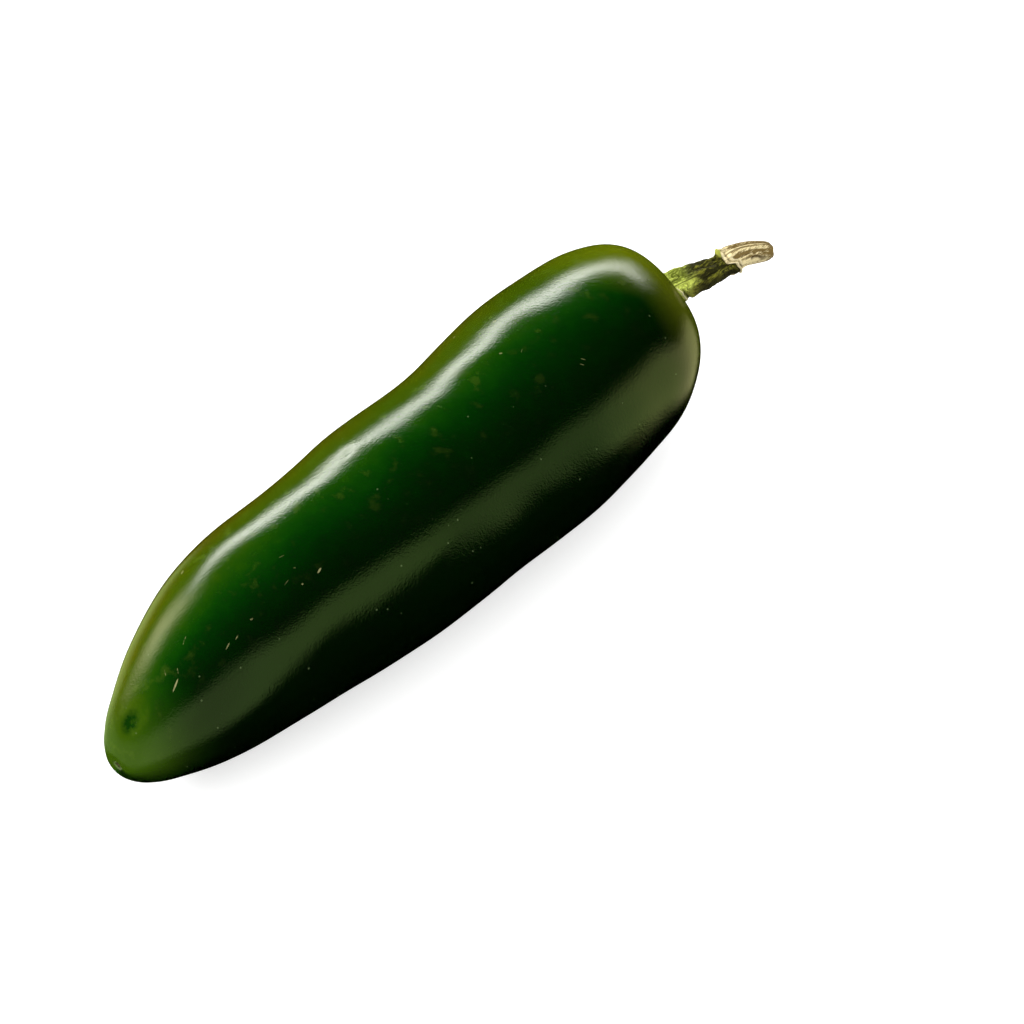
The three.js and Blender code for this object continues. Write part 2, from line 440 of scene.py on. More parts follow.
def dry_stretch(distance, angle, torn):
    """Relief, splits and tone of the dry wood: long strands and threads, split along their zero
    lines, one wider crack, a darker broken end and a pale stretch just past the torn edge. The
    tone rises with the raised strands, which paints light on them over the fibres' own colour."""
    strand = lattice(21, 17, 0.10, distance, angle)
    thread = lattice(22, 37, 0.22, distance, angle)
    split = np.maximum(bell(strand, 0.07), 0.8 * bell(thread, 0.11))
    crack = bell(around(angle, CRACK_ANGLE) + 0.10 * np.sin(2.0 * distance), 0.085)
    crack = crack * step(distance, *CRACK_OPENS) * step(distance, *CRACK_CLOSES)
    relief = 0.05 * strand + 0.03 * thread - 0.07 * split - 0.18 * crack
    tone = 0.55 + 0.45 * strand + 0.40 * thread - 0.7 * step(distance, *BROKEN_END)
    tone = tone - 0.40 * bell(around(angle, 50), 0.5) + 0.8 * bell(distance - torn - 0.7, 0.6)
    return relief, 0.85 * split + crack, tone


# %% The torn edge of the green skin
TORN_AT = 15.1


def torn_edge(distance, angle):
    """Where the green skin ends: a ragged line round the stalk, the raised cuff and curls that
    stand along it as bells, and the painted shade along both sides of the cuff."""
    torn = TORN_AT + 0.8 * lattice(3, 6, 0.2, distance, angle)
    torn = torn + 0.5 * lattice(4, 17, 0.2, distance, angle)
    lumps = step(lattice(5, 15, 0.2, distance, angle), -0.7, 0.4)
    cuff = bell(distance - torn - 0.32, 0.24) * (0.25 + 0.75 * lumps)
    curl_at = torn + 1.15 + 0.4 * lattice(7, 9, 0.2, distance, angle)
    curl = bell(distance - curl_at, 0.20) * step(lattice(8, 11, 0.2, distance, angle), -0.2, 0.4)
    shaded = bell(distance - torn + 0.10, 0.14) + 0.7 * bell(distance - torn - 0.75, 0.13)
    return torn, cuff + 0.8 * curl, shaded


# %% The curled collar at the stalk's foot
COLLAR_AT = 5.2
COLLAR_TURN = 172
CREVICE_TURN = 185
HALF_ARC = (-0.80, -0.45)


def collar_edge(distance, angle):
    """A thin raised line on one side of the stalk, and the crevice beside and under it, sunk in and
    darkened as painted shade.
    """
    edge = COLLAR_AT + 1.0 * np.clip(around(angle, 140) / 0.7, -1, 2.2)
    edge = edge + 0.15 * lattice(6, 23, 0.2, distance, angle)
    collar = bell(distance - edge, 0.15) * step(-np.abs(around(angle, COLLAR_TURN)), *HALF_ARC)
    crevice = bell(distance - edge - 0.50, 0.28) + step(edge - 0.30 - distance, 0.0, 0.35)
    crevice = crevice * step(-np.abs(around(angle, CREVICE_TURN)), *HALF_ARC)
    return collar, crevice


# %% The whole surface of the stalk
RIBS = 5
RIB_HEIGHT = 0.10
RIB_TWIST = 0.15


def stem_surface(distance, angle):
    """The relief as a share of the radius, and the shares of dry wood, of painted shade in grooves,
    of pale torn edge and of light tone, which follows the relief as painted light. The green and
    the dry stretch are mixed at the torn edge."""
    torn, cuff, shaded = torn_edge(distance, angle)
    dry = step(distance - torn, -0.05, 0.12)
    green_relief, fold, green_tone = green_stretch(distance, angle)
    dry_relief, split, dry_tone = dry_stretch(distance, angle, torn)
    collar, crevice = collar_edge(distance, angle)
    ribs = RIB_HEIGHT * np.cos(RIBS * angle + RIB_TWIST * distance)
    relief = ribs + green_relief * (1 - dry) + dry_relief * dry
    relief = relief + 0.18 * cuff + 0.16 * collar - 0.10 * crevice - 0.05 * shaded
    groove = np.clip(fold * (1 - dry) + split * dry + crevice + 0.8 * shaded, 0, 1)
    pale = np.clip(0.9 * cuff * dry + 1.1 * collar, 0, 1)
    tone = np.clip(green_tone * (1 - dry) + dry_tone * dry, 0, 1)
    return relief, dry, groove, pale, tone


# %% From the calyx to the stalk
FLAKE_AT = 14.6
FLAKE_TURN = 66
FLAKE_HEIGHT = 1.1


def flake_of(distance, angle):
    """The torn flake at the end of the green skin, as a bell curve."""
    return bell(distance - FLAKE_AT, 0.5) * bell(around(angle, FLAKE_TURN), 0.36)


def stem_place(part, lift, radius, distance, angle):
    """part is 0 on the calyx, which lies in the dimple, and 1 on the stalk, which follows its
    line; in between the two are mixed. The calyx's edge is toothed by a cosine, and the stalk's
    radius is multiplied by 1 plus the relief, with the flake added."""
    edge = (radius / CALYX_RADIUS) ** CALYX_TOOTH_POWER
    toothed = radius * (1 + CALYX_TOOTH * edge * np.cos(CALYX_TEETH * angle))
    on_calyx = in_fruit(dimple_floor(toothed) + lift, toothed, angle)
    on_calyx[..., 0] = dimple_floor(toothed) + lift
    middle, across, above = stem_frame(distance)
    flake = FLAKE_HEIGHT * flake_of(distance, angle)
    ribbed = radius * (1 + stem_surface(distance, angle)[0]) + flake * np.minimum(radius, 1)
    sideways = across * (ribbed * np.cos(angle))[..., None]
    upwards = above * (ribbed * np.sin(angle))[..., None]
    on_stem = middle + sideways + upwards
    return on_calyx * (1 - part)[..., None] + on_stem * part[..., None]


# %% The rings of the stalk
STEM_SIDES = 180
STEM_RINGS = 400
UNDER_RINGS = 14
EDGE_RINGS = 10
TOP_RINGS = 26
MIXING_LENGTH = 1.5

under = np.linspace(0, 1, UNDER_RINGS)[:-1]
edge_turn = np.linspace(0, np.pi, EDGE_RINGS)
top = np.linspace(1, 0, TOP_RINGS)[1:]
rise = smooth_curve(STEM_OUTLINE, np.linspace(0, 1, STEM_RINGS))
rim = CALYX_RADIUS - CALYX_THICKNESS / 2
foot_distance, foot_radius = STEM_OUTLINE[0]
calyx_radius = np.concatenate([
    under * rim,
    rim + CALYX_THICKNESS / 2 * np.sin(edge_turn),
    foot_radius + (rim - foot_radius) * top,
])
calyx_lift = CALYX_GAP + CALYX_THICKNESS * np.concatenate([
    np.zeros(len(under)),
    (1 - np.cos(edge_turn)) / 2,
    np.ones(len(top)),
])
risen = rise[1:, 0] - foot_distance
stem_part = np.concatenate([np.zeros(len(calyx_radius)), step(risen, 0, MIXING_LENGTH)])
stem_radius = np.concatenate([calyx_radius, np.maximum(rise[1:, 1], 0)])
stem_lift = np.concatenate([calyx_lift, calyx_lift[-1] + risen])
stem_distance = np.concatenate([np.full(len(calyx_radius), foot_distance), rise[1:, 0]])
print("rings of the stalk", len(stem_radius), "of them on the calyx", len(calyx_radius))


# %% Make the stalk
def over_sides(values):
    """The same value at every side of a ring."""
    return np.repeat(values[:, None], STEM_SIDES, 1)


stem_turn = np.linspace(0, 2 * np.pi, STEM_SIDES, endpoint=False)
stem_angle = np.broadcast_to(stem_turn, (len(stem_radius), STEM_SIDES))
distance = over_sides(stem_distance)
stem_grid = stem_place(
    over_sides(stem_part), over_sides(stem_lift), over_sides(stem_radius), distance, stem_angle,
)
_, dry_share, crease_shade_share, pale_share, tone_and_ridge_light_share = stem_surface(distance, stem_angle)
# Painted shade: the stalk's underside, away from the lit side, is darkened in its colour.
underside_painted_shade = step(-np.cos(stem_angle - math.radians(LIT_SIDE)), 0.0, 0.45)
underside_painted_shade = underside_painted_shade * (0.35 + 0.65 * step(distance, 7.5, 10.0)) * (1 - 0.6 * dry_share)
stalk_piece = closed_mesh("stalk", (stem_grid + shift) * MM, {
    "distance": distance,
    "dry": dry_share,
    "groove": crease_shade_share,
    "pale": pale_share,
    "tone": tone_and_ridge_light_share,
    "flake": flake_of(distance, stem_angle),
    "under": underside_painted_shade,
})

# %% [markdown]
# ## Shader maths
#
# A socket wrapped in a small class lets a material read like a formula: a plus sign adds a Math
# node. Colours are mixed by Mix nodes, because a Math node would turn them grey.


# %% Expressions for shader sockets
class Value:
    """What varies over the surface: a node's output socket, with arithmetic for numbers."""

    def __init__(self, paint, socket):
        self.paint = paint
        self.socket = socket

    def math(self, operation, first, second):
        return self.paint.node("ShaderNodeMath", {"operation": operation}, {0: first, 1: second})

    def __add__(self, other):
        return self.math("ADD", self, other)

    __radd__ = __add__

    def __mul__(self, other):
        return self.math("MULTIPLY", self, other)

    __rmul__ = __mul__

    def __sub__(self, other):
        return self.math("SUBTRACT", self, other)

    def __rsub__(self, other):
        return self.math("SUBTRACT", other, self)

    def __pow__(self, other):
        return self.math("POWER", self, other)


# %% A material with short calls
class Paint:
    """One material. Each method adds a node and gives its output as a Value."""

    def __init__(self, name):
        self.material = bpy.data.materials.new(name)
        self.material.use_nodes = True
        self.nodes = self.material.node_tree.nodes
        self.links = self.material.node_tree.links
        self.shader = self.nodes["Principled BSDF"]

    def node(self, kind, settings=None, inputs=None, output=0):
        """Any node: settings first, then its sockets by name or number, then one output."""
        new = self.nodes.new(kind)
        for key, value in (settings or {}).items():
            if key == "stops":
                self.set_stops(new.color_ramp, value)
            else:
                setattr(new, key, value)
        for key, value in (inputs or {}).items():
            self.put(new.inputs[key], value)
        return Value(self, new.outputs[output])

    def set_stops(self, ramp, stops):
        """A colour ramp's stops, each a position from 0 to 1 and a colour."""
        while len(ramp.elements) < len(stops):
            ramp.elements.new(0.5)
        for element, (position, colour) in zip(ramp.elements, stops):
            element.position = position
            element.color = (*colour, 1)

    def put(self, socket, value):
        """Links a Value to a socket, or sets the socket to a number, colour or vector."""
        if isinstance(value, Value):
            self.links.new(value.socket, socket)
        else:
            socket.default_value = value

    def mix(self, factor, first, second):
        """A colour between two colours. The Mix node's colour sockets are numbers 6 and 7."""
        ends = [end if isinstance(end, Value) else (*end, 1) for end in (first, second)]
        settings = {"data_type": "RGBA", "clamp_factor": True}
        return self.node("ShaderNodeMix", settings, {0: factor, 6: ends[0], 7: ends[1]}, 2)

    def ramp(self, value, low, high):
        """A smooth step: 0 below low, 1 above high. low may be the larger of the two."""
        if low > high:
            return 1 - self.ramp(value, high, low)
        settings = {"interpolation_type": "SMOOTHSTEP"}
        return self.node("ShaderNodeMapRange", settings, {0: value, 1: low, 2: high})

    def vector(self, operation, first, second, output):
        return self.node("ShaderNodeVectorMath", {"operation": operation}, {0: first, 1: second}, output)

    def noise(self, place, scale, detail=3.0, roughness=0.5):
        inputs = {"Vector": place, "Scale": scale, "Detail": detail, "Roughness": roughness}
        return self.node("ShaderNodeTexNoise", {}, inputs)

    def cells(self, place, scale, output):
        """A Voronoi pattern: the distance to the nearest seed, or the seed's own random colour."""
        return self.node("ShaderNodeTexVoronoi", {}, {"Vector": place, "Scale": scale}, output)

    def place(self):
        return self.node("ShaderNodeTexCoord", output="Object")

    def stretched(self, place, scale):
        return self.node("ShaderNodeMapping", {}, {"Vector": place, "Scale": scale})

    def attribute(self, name, output="Fac"):
        return self.node("ShaderNodeAttribute", {"attribute_name": name}, {}, output)

    def bump(self, height, distance, strength):
        inputs = {"Height": height, "Distance": distance, "Strength": strength}
        return self.node("ShaderNodeBump", {}, inputs)

    def finish(self, **sockets):
        """Sets or links the shader's own sockets, named with _ for a space."""
        for key, value in sockets.items():
            self.put(self.shader.inputs[key.replace("_", " ")], value)
        return self.material


# %% [markdown]
# ## The skin's greens
#
# A jalapeno's skin is a thin waxy film over dark green flesh. Here its green also holds painted
# light and shade: it goes from olive on the lit side to nearly black on the underside, drifts in
# slow clouds and has a fine mottle. A colour ramp over the place round the fruit gives that painted
# change, and noise shifts the place it reads, so that no edge is straight. Colours are linear light,
# so dark ones have very small numbers.

# %% Places and patterns on the skin
skin = Paint("waxy green skin")
place = skin.place()
side = skin.attribute("side")
near_stalk = skin.attribute("shoulder")
near_tip = skin.attribute("tip")
clouds = skin.noise(place, 60.0, 2.0)
mottle = skin.noise(place, 420.0, 4.0, 0.6)
grain = skin.noise(place, 1500.0)

# %% The greens round the fruit
GREENS_AND_PAINTED_SHADE = [
    # share of half a turn from the sunny side, colour
    (0.00, (0.078, 0.078, 0.0012)),
    (0.08, (0.056, 0.068, 0.0005)),
    (0.14, (0.034, 0.062, 0.0002)),
    (0.22, (0.023, 0.056, 0.0002)),
    (0.28, (0.0085, 0.0460, 0.0001)),
    (0.33, (0.0022, 0.0350, 0.0001)),
    (0.38, (0.0004, 0.0220, 0.0001)),
    (0.43, (0.0002, 0.0140, 0.0001)),
    (0.49, (0.0003, 0.0082, 0.0001)),
    (0.56, (0.0002, 0.0046, 0.0001)),
    (0.75, (0.0002, 0.0030, 0.0001)),
    (0.85, (0.0002, 0.0019, 0.0001)),
    (1.00, (0.0003, 0.0022, 0.0002)),
]
OCHRE = (0.066, 0.056, 0.0006)

# The ramp paints light and shade: olive on the lit side, down to near black on the underside.
drift = side + 0.13 * (clouds - 0.5) + 0.10 * (mottle - 0.5)
colour = skin.node("ShaderNodeValToRGB", {"stops": GREENS_AND_PAINTED_SHADE}, {0: drift})
# Ochre clouds kept to the lit side: the skin's own ochre, partly painted light.
ochre_painted_light_share = skin.ramp(side, 0.24, 0.02) * skin.ramp(clouds, 0.44, 0.60)
colour = skin.mix(ochre_painted_light_share * 0.75, colour, OCHRE)
print("greens", len(GREENS_AND_PAINTED_SHADE))

# %% Olive shoulders in lit and shaded copies, a tip with painted light, and flecks
OLIVE_PAINTED_LIGHT = (0.108, 0.138, 0.001)
OLIVE_PAINTED_SHADE = (0.058, 0.072, 0.0012)
TIP_GREEN = (0.027, 0.064, 0.0007)
FLECK_GREEN = (0.080, 0.130, 0.006)

# The shoulders' own olive in a lit and a shaded copy: painted light and shade.
olive = skin.mix(skin.ramp(side, 0.25, 0.50), OLIVE_PAINTED_LIGHT, OLIVE_PAINTED_SHADE)
olive_share = near_stalk + 0.30 * (clouds - 0.5) * skin.ramp(near_stalk, 0.0, 0.3)
olive_share = olive_share + 0.15 * (mottle - 0.5) * near_stalk
colour = skin.mix(olive_share, colour, olive)
# The tip's fresh green, lifted as painted light and kept off the underside as painted shade.
colour = skin.mix(near_tip, colour, TIP_GREEN)
fleck = skin.ramp(mottle, 0.56, 0.72) * skin.ramp(side, 0.60, 0.15)
colour = skin.mix(fleck * 0.26, colour, FLECK_GREEN)

# %% [markdown]
# ## Marks on the skin
#
# Small pale specks sit all over a pepper, and its skin has corky scuffs where it rubbed against
# leaves. The specks are few cells of a Voronoi pattern. The scuffs are ovals put down one by one,
# each in the flat plane that touches the skin at its place.

# %% Specks
SPECK_PALE = (0.16, 0.22, 0.09)


def speckle(paint, place, scale, size, share):
    """Round specks: the middles of a Voronoi pattern's cells, of which only a share is used, by
    each cell's own random number."""
    draw = paint.node("ShaderNodeSeparateColor", {}, {0: paint.cells(place, scale, "Color")})
    spot = paint.ramp(paint.cells(place, scale, "Distance"), size, size * 0.4)
    return spot * paint.ramp(draw, 1 - share, 1.02 - share)


large_specks = speckle(skin, place, 300.0, 0.055, 0.20)
small_specks = speckle(skin, place, 700.0, 0.12, 0.14)
specks = large_specks * 0.45 + small_specks * 0.35
colour = skin.mix(specks, colour, SPECK_PALE)

# %% A place and an oval mark on the skin
# Marks keep clear of the first rings at the tip and of the last ones in the dimple
TIP_RINGS = 8
DIMPLE_RINGS = 60
MARK_EDGE = 1.3


def skin_frame(at, turn_deg):
    """A point of the skin, and the directions along and round the fruit there, from the grid."""
    ring = int(np.argmin(np.abs(outline[TIP_RINGS:-DIMPLE_RINGS, 0] - at))) + TIP_RINGS
    facet = int(round(turn_deg / 360 * FRUIT_SIDES)) % FRUIT_SIDES
    point = (fruit_grid[ring, facet] + shift) * MM
    along_skin = fruit_grid[ring + 1, facet] - fruit_grid[ring - 1, facet]
    round_skin = fruit_grid[ring, (facet + 1) % FRUIT_SIDES] - fruit_grid[ring, facet - 1]
    return point, along_skin / np.linalg.norm(along_skin), round_skin / np.linalg.norm(round_skin)


def mark(paint, place, at, turn_deg, length, width, heading=0.0, soft=0.8):
    """A small oval: 1 in its middle and 0 outside, by the squared distance from its place on the
    skin in two directions along the surface, each divided by the oval's half size."""
    middle, along_skin, round_skin = skin_frame(at, turn_deg)
    cos, sin = math.cos(heading), math.sin(heading)
    offset = paint.vector("SUBTRACT", place, tuple(middle), 0)
    u = paint.vector("DOT_PRODUCT", offset, tuple(cos * along_skin + sin * round_skin), "Value")
    v = paint.vector("DOT_PRODUCT", offset, tuple(cos * round_skin - sin * along_skin), "Value")
    far = (u * (1 / (length * MM))) ** 2 + (v * (1 / (width * MM))) ** 2
    return paint.ramp(far, MARK_EDGE, MARK_EDGE - soft)


# %% Scuffs
SCUFFS = [
    # along, angle in degrees, half length, half width, heading, strength
    (8.6, 107.3, 0.90, 0.11, -0.35, 0.85),
    (9.8, 101.0, 0.35, 0.08, -0.9, 0.45),
    (9.0, 93.8, 0.40, 0.07, -0.9, 0.45),
    (13.0, 90.5, 0.55, 0.09, -0.3, 0.45),
    (15.8, 115.8, 0.50, 0.08, -0.35, 0.55),
    (17.2, 115.2, 0.40, 0.08, -0.35, 0.60),
    (20.1, 114.2, 0.22, 0.12, 0.3, 0.50),
    (30.3, 118.5, 0.42, 0.13, -0.3, 0.75),
    (26.4, 113.2, 0.50, 0.06, -0.2, 0.25),
    (28.6, 108.8, 0.16, 0.12, 0.2, 0.55),
    (27.4, 118.7, 0.14, 0.12, 0.0, 0.55),
    (28.3, 99.5, 0.40, 0.07, 0.3, 0.22),
    (20.4, 51.0, 0.35, 0.18, -0.4, 0.65),
    (71.7, 86.8, 0.22, 0.13, 0.8, 0.60),
    (73.9, 92.5, 0.35, 0.06, -0.5, 0.22),
    (76.2, 69.0, 0.30, 0.22, 0.0, 0.30),
    (79.6, 117.0, 0.38, 0.07, 0.9, 0.35),
    (78.9, 119.0, 0.34, 0.07, 0.9, 0.30),
    (75.8, 47.2, 0.55, 0.07, -0.4, 0.40),
    (72.8, 51.0, 0.25, 0.15, 0.0, 0.35),
]
CORK = (0.30, 0.28, 0.11)

scuffs = 0.0
for *oval, strength in SCUFFS:
    scuffs = mark(skin, place, *oval) * strength + scuffs
scratch = scuffs * skin.ramp(grain, 0.30, 0.55)
colour = skin.mix(scratch, colour, CORK)
print("scuffs", len(SCUFFS))

# %% The scar of the blossom
SCAR_BROWN = (0.055, 0.030, 0.008)
SCAR_RIM = (0.12, 0.16, 0.06)

tip_point = (fruit_grid[0].mean(0) + shift) * MM
from_tip = skin.vector("DISTANCE", place, tuple(tip_point), "Value")
from_tip_mm = from_tip * (1 / MM) + 0.35 * (grain - 0.5)
scar = skin.ramp(from_tip_mm, 0.55, 0.25)
scar_ring = skin.ramp(from_tip_mm, 0.45, 0.60) * skin.ramp(from_tip_mm, 0.95, 0.70)
colour = skin.mix(scar_ring * 0.55, colour, SCAR_RIM)
colour = skin.mix(scar, colour, SCAR_BROWN)
print("blossom scar at", np.round(tip_point, 4))

# %% The dent beside the scar, with painted shade in its hollow and painted light on its rim, and the nick
DENT_RIM_PAINTED_LIGHT = (0.050, 0.095, 0.002)
DENT_PAINTED_SHADE = (0.003, 0.026, 0.0005)
NICK_DARK = (0.004, 0.010, 0.001)

dent_rim_painted_light = mark(skin, place, 3.9, 91, 2.6, 2.0) * skin.ramp(mottle, 0.30, 0.62)
colour = skin.mix(dent_rim_painted_light * 0.40, colour, DENT_RIM_PAINTED_LIGHT)
dent_shade = mark(skin, place, 3.1, 89, 1.9, 1.45, soft=1.2)
dent_shade = dent_shade * (0.55 + 0.9 * skin.ramp(mottle, 0.62, 0.34))
colour = skin.mix(dent_shade * 0.90, colour, DENT_PAINTED_SHADE)
colour = skin.mix(mark(skin, place, 2.3, 9, 0.55, 0.35) * 0.9, colour, NICK_DARK)

# %% [markdown]
# ## The skin's gloss
#
# The wax is smooth, so the skin mirrors its lights almost sharply. Low roughness gives that, and
# the scuffs, the specks and the scar break it. Pores a few tenths of a millimetre wide, as a faint
# bump, give the mirrored lights their grainy edges. They are far too fine for the mesh.

# %% Finish the skin
PORE_DEPTH = 0.00004

roughness = 0.115 + 0.045 * skin.ramp(mottle, 0.4, 0.7)
roughness = roughness + 0.35 * skin.ramp(scratch + specks + scar, 0.1, 0.9)
pores = 0.5 * skin.noise(place, 2600.0, 2.0) + 0.6 * skin.noise(place, 4600.0, 2.0)
height = 0.3 * grain + pores - 0.5 * scratch - 1.5 * scar + 0.8 * scar_ring
skin_piece.data.materials.append(skin.finish(
    Base_Color=colour,
    Roughness=roughness,
    Normal=skin.bump(height, PORE_DEPTH, 0.8),
))
print("skin nodes", len(skin.nodes))

# %% [markdown]
# ## The stalk's finish
#
# Near the fruit the stalk is fresh green, painted lighter yellow-green on its ridges and painted
# shade of dark olive in its folds and on its underside. Its broken end is dry wood, tan with long pale
# and brown fibres, its raised strands painted lighter and its splits painted darker. The colours follow
# the shares that the mesh carries, so each fold is painted dark exactly where it is deep, and the
# fibres are noise stretched along the stalk.

# %% Places and patterns on the stalk
stalk = Paint("stalk green to dry")
place = stalk.place()
dry = stalk.attribute("dry")
groove = stalk.attribute("groove")
under = stalk.attribute("under")
streaks = stalk.noise(stalk.stretched(place, (0.30, 1.0, 1.0)), 2200.0, 4.0, 0.6)
fibres = stalk.noise(stalk.stretched(place, (0.25, 1.0, 1.0)), 5200.0, 3.0, 0.6)
patches = stalk.noise(place, 520.0)
tone = stalk.attribute("tone") + 0.8 * (streaks - 0.5) + 2.4 * (fibres - 0.5)

# %% The green stretch's colours
LIME = [(0.165, 0.205, 0.018), (0.660, 0.760, 0.130)]
OLIVE = [(0.024, 0.023, 0.002), (0.190, 0.190, 0.014)]
FOLD_PAINTED_SHADE = (0.020, 0.018, 0.002)
FLAKE_LIGHT = (0.480, 0.500, 0.080)

# under also pushes the underside to deep olive, as painted shade.
fresh = stalk.attribute("distance") + 3.0 * (patches - 0.5) + 4.0 * under
# tone rises with the relief, so the ridges are painted lighter: painted light, mixed with random tone.
lime = stalk.mix(stalk.ramp(tone, -0.05, 0.62), *LIME)
deep = stalk.mix(stalk.ramp(tone, 0.30, 0.95), *OLIVE)
green = stalk.mix(stalk.ramp(fresh, 9.8, 6.4), deep, lime)
# Painted shade in the folds, the crevice and along the torn edge.
green = stalk.mix(groove * 0.85, green, FOLD_PAINTED_SHADE)
flake = stalk.ramp(stalk.attribute("flake"), 0.15, 0.5)
green = stalk.mix(flake * 0.8, green, FLAKE_LIGHT)

# %% The dry wood's colours
WOOD = [(0.170, 0.115, 0.036), (0.860, 0.730, 0.400)]
WOOD_STAIN = (0.200, 0.140, 0.050)
SPLIT_PAINTED_SHADE = (0.075, 0.046, 0.014)
TORN_PALE = (0.800, 0.720, 0.460)
UNDERSIDE_PAINTED_SHADE = (0.010, 0.008, 0.001)

wood = stalk.mix(stalk.ramp(tone, 0.10, 0.95), *WOOD)
wood = stalk.mix(stalk.ramp(patches, 0.52, 0.70) * 0.35, wood, WOOD_STAIN)
# Painted shade in the splits, the crack, the crevice and along the torn edge.
wood = stalk.mix(groove * 0.85, wood, SPLIT_PAINTED_SHADE)
stalk_colour = stalk.mix(dry, green, wood)
stalk_colour = stalk.mix(stalk.attribute("pale") * 0.9, stalk_colour, TORN_PALE)
# Painted shade on the stalk's underside.
stalk_colour = stalk.mix(under * 0.88, stalk_colour, UNDERSIDE_PAINTED_SHADE)

# %% Finish the stalk
FIBRE_DEPTH = 0.0003

stalk_piece.data.materials.append(stalk.finish(
    Base_Color=stalk_colour,
    Roughness=0.60 + 0.20 * dry,
    Specular_IOR_Level=0.1,
    Normal=stalk.bump(0.5 * streaks + 0.3 * patches + 0.4 * fibres, FIBRE_DEPTH, 0.9),
))
print("stalk nodes", len(stalk.nodes))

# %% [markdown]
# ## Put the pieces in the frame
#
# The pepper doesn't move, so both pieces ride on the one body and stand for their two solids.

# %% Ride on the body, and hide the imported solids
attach(skin_piece, "root")
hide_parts("pod")
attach(stalk_piece, "root")
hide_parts("stem")
print("pieces", skin_piece.name, stalk_piece.name)

# %% [markdown]
# ## The table
#
# The pepper lies on a white table that fades into the background. A sheet that glows a little
# reaches pure white with soft light, so only the shadow at the pepper's foot shows. The skin
# doesn't mirror it: the cards below are all that the skin mirrors.

# %% Lay the table
TABLE_REACH = 2.0


def sheet(name, grid, material, glow=None):
    """A grid of corners as a mesh for the stage. glow, when it is given, is a colour that each
    corner carries for the material."""
    rows, columns, _ = grid.shape
    first = np.arange(rows - 1)[:, None] * columns + np.arange(columns - 1)[None, :]
    faces = np.stack([first, first + 1, first + columns + 1, first + columns], -1)
    mesh = bpy.data.meshes.new(name)
    mesh.from_pydata(grid.reshape(-1, 3).tolist(), [], faces.reshape(-1, 4).tolist())
    mesh.materials.append(material)
    if glow is not None:
        layer = mesh.attributes.new("glow", "FLOAT_COLOR", "POINT")
        layer.data.foreach_set("color", glow.reshape(-1).astype(np.float32))
    piece = bpy.data.objects.new(name, mesh)
    bpy.context.scene.collection.objects.link(piece)
    return piece


paper = Paint("white paper").finish(
    Base_Color=(0.84, 0.84, 0.84, 1), Roughness=0.9,
    Emission_Color=(1, 1, 1, 1), Emission_Strength=0.50,
)
paper.cycles.emission_sampling = "NONE"
reach = np.linspace(-TABLE_REACH, TABLE_REACH, 3)
table = sheet("table", np.stack([*np.meshgrid(reach, reach), np.zeros((3, 3))], -1), paper)
table.visible_glossy = False
print("table", 2 * TABLE_REACH, "m wide")

# %% [markdown]
# ## The camera
#
# The camera looks down past the tip along the fruit. A long lens from half a metre away keeps the
# far end nearly as large as the near one, as in a product picture.

# %% Place the camera
YAW = math.radians(49.3)
ELEVATION = math.radians(48.0)
DISTANCE = 0.460
LENS = 119.1
TARGET = Vector((0.0002, -0.0092, 0.01366))

forward = Vector((
    math.sin(YAW) * math.cos(ELEVATION),
    math.cos(YAW) * math.cos(ELEVATION),
    -math.sin(ELEVATION),
))
camera_data = bpy.data.cameras.new("camera")
camera_data.lens = LENS
camera = bpy.data.objects.new("camera", camera_data)
camera.location = TARGET - forward * DISTANCE
camera.rotation_euler = forward.to_track_quat("-Z", "Y").to_euler()
bpy.context.scene.collection.objects.link(camera)
bpy.context.scene.camera = camera
print("camera at", [round(c, 3) for c in camera.location])

# %% [markdown]
# ## The light cards
#
# A glossy skin shows its lights as shapes, so a photographer puts bright cards round it and dark
# gaps between them. Three curved cards stand round the table. One behind the fruit draws the bright
# stripe, a warm one beside it draws the soft patches near the tip, and a wide dim one in front draws
# the broad band. Each card's edges, brightness and tint change round the table. The cards show in
# reflections only: they light nothing and cast no shadow.

# %% A glowing card
CARD_DISTANCE = 2.5
CARD_COLUMNS = 240
CARD_ROWS = 25


def over_azimuth(table, azimuth):
    """Each column of a table after its first, at these azimuths, between its rows by straight
    lines, as columns of their own."""
    table = np.array(table, float)
    return [np.interp(azimuth, table[:, 0], values)[:, None] for values in table[:, 1:].T]


def card(name, edges, tints, softness):
    """A tall curved card round the table that glows. At each azimuth, counted in degrees from +Y
    towards +X, edges gives the elevations of its lower and upper edge and its radiance, and tints
    its colour. The glow fades out at both edges as a smooth step over that share of its height."""
    azimuth = np.linspace(edges[0][0], edges[-1][0], CARD_COLUMNS)
    low, high, radiance = over_azimuth(edges, azimuth)
    middle, half = (low + high) / 2, (high - low) / 2 / (1 - softness)
    share = np.linspace(-1, 1, CARD_ROWS)
    elevation = np.radians(middle + half * share)
    turned = np.radians(azimuth)[:, None] + 0 * elevation
    grid = CARD_DISTANCE * np.stack([np.sin(turned), np.cos(turned), np.tan(elevation)], -1)
    brightest = radiance.max()
    level = radiance / brightest * step((1 - np.abs(share)) / 2, 0, softness)
    tint = over_azimuth(tints, azimuth)
    glow = np.stack([*(level * channel for channel in tint), np.ones(level.shape)], -1)
    paint = Paint(name)
    material = paint.finish(
        Base_Color=(0, 0, 0, 1), Roughness=1.0,
        Emission_Color=paint.attribute("glow", "Color"), Emission_Strength=float(brightest),
    )
    material.cycles.emission_sampling = "NONE"
    piece = sheet(name, grid, material, glow)
    piece.visible_camera = False
    piece.visible_diffuse = False
    piece.visible_shadow = False
    print(name, "from azimuth", edges[0][0], "to", edges[-1][0])


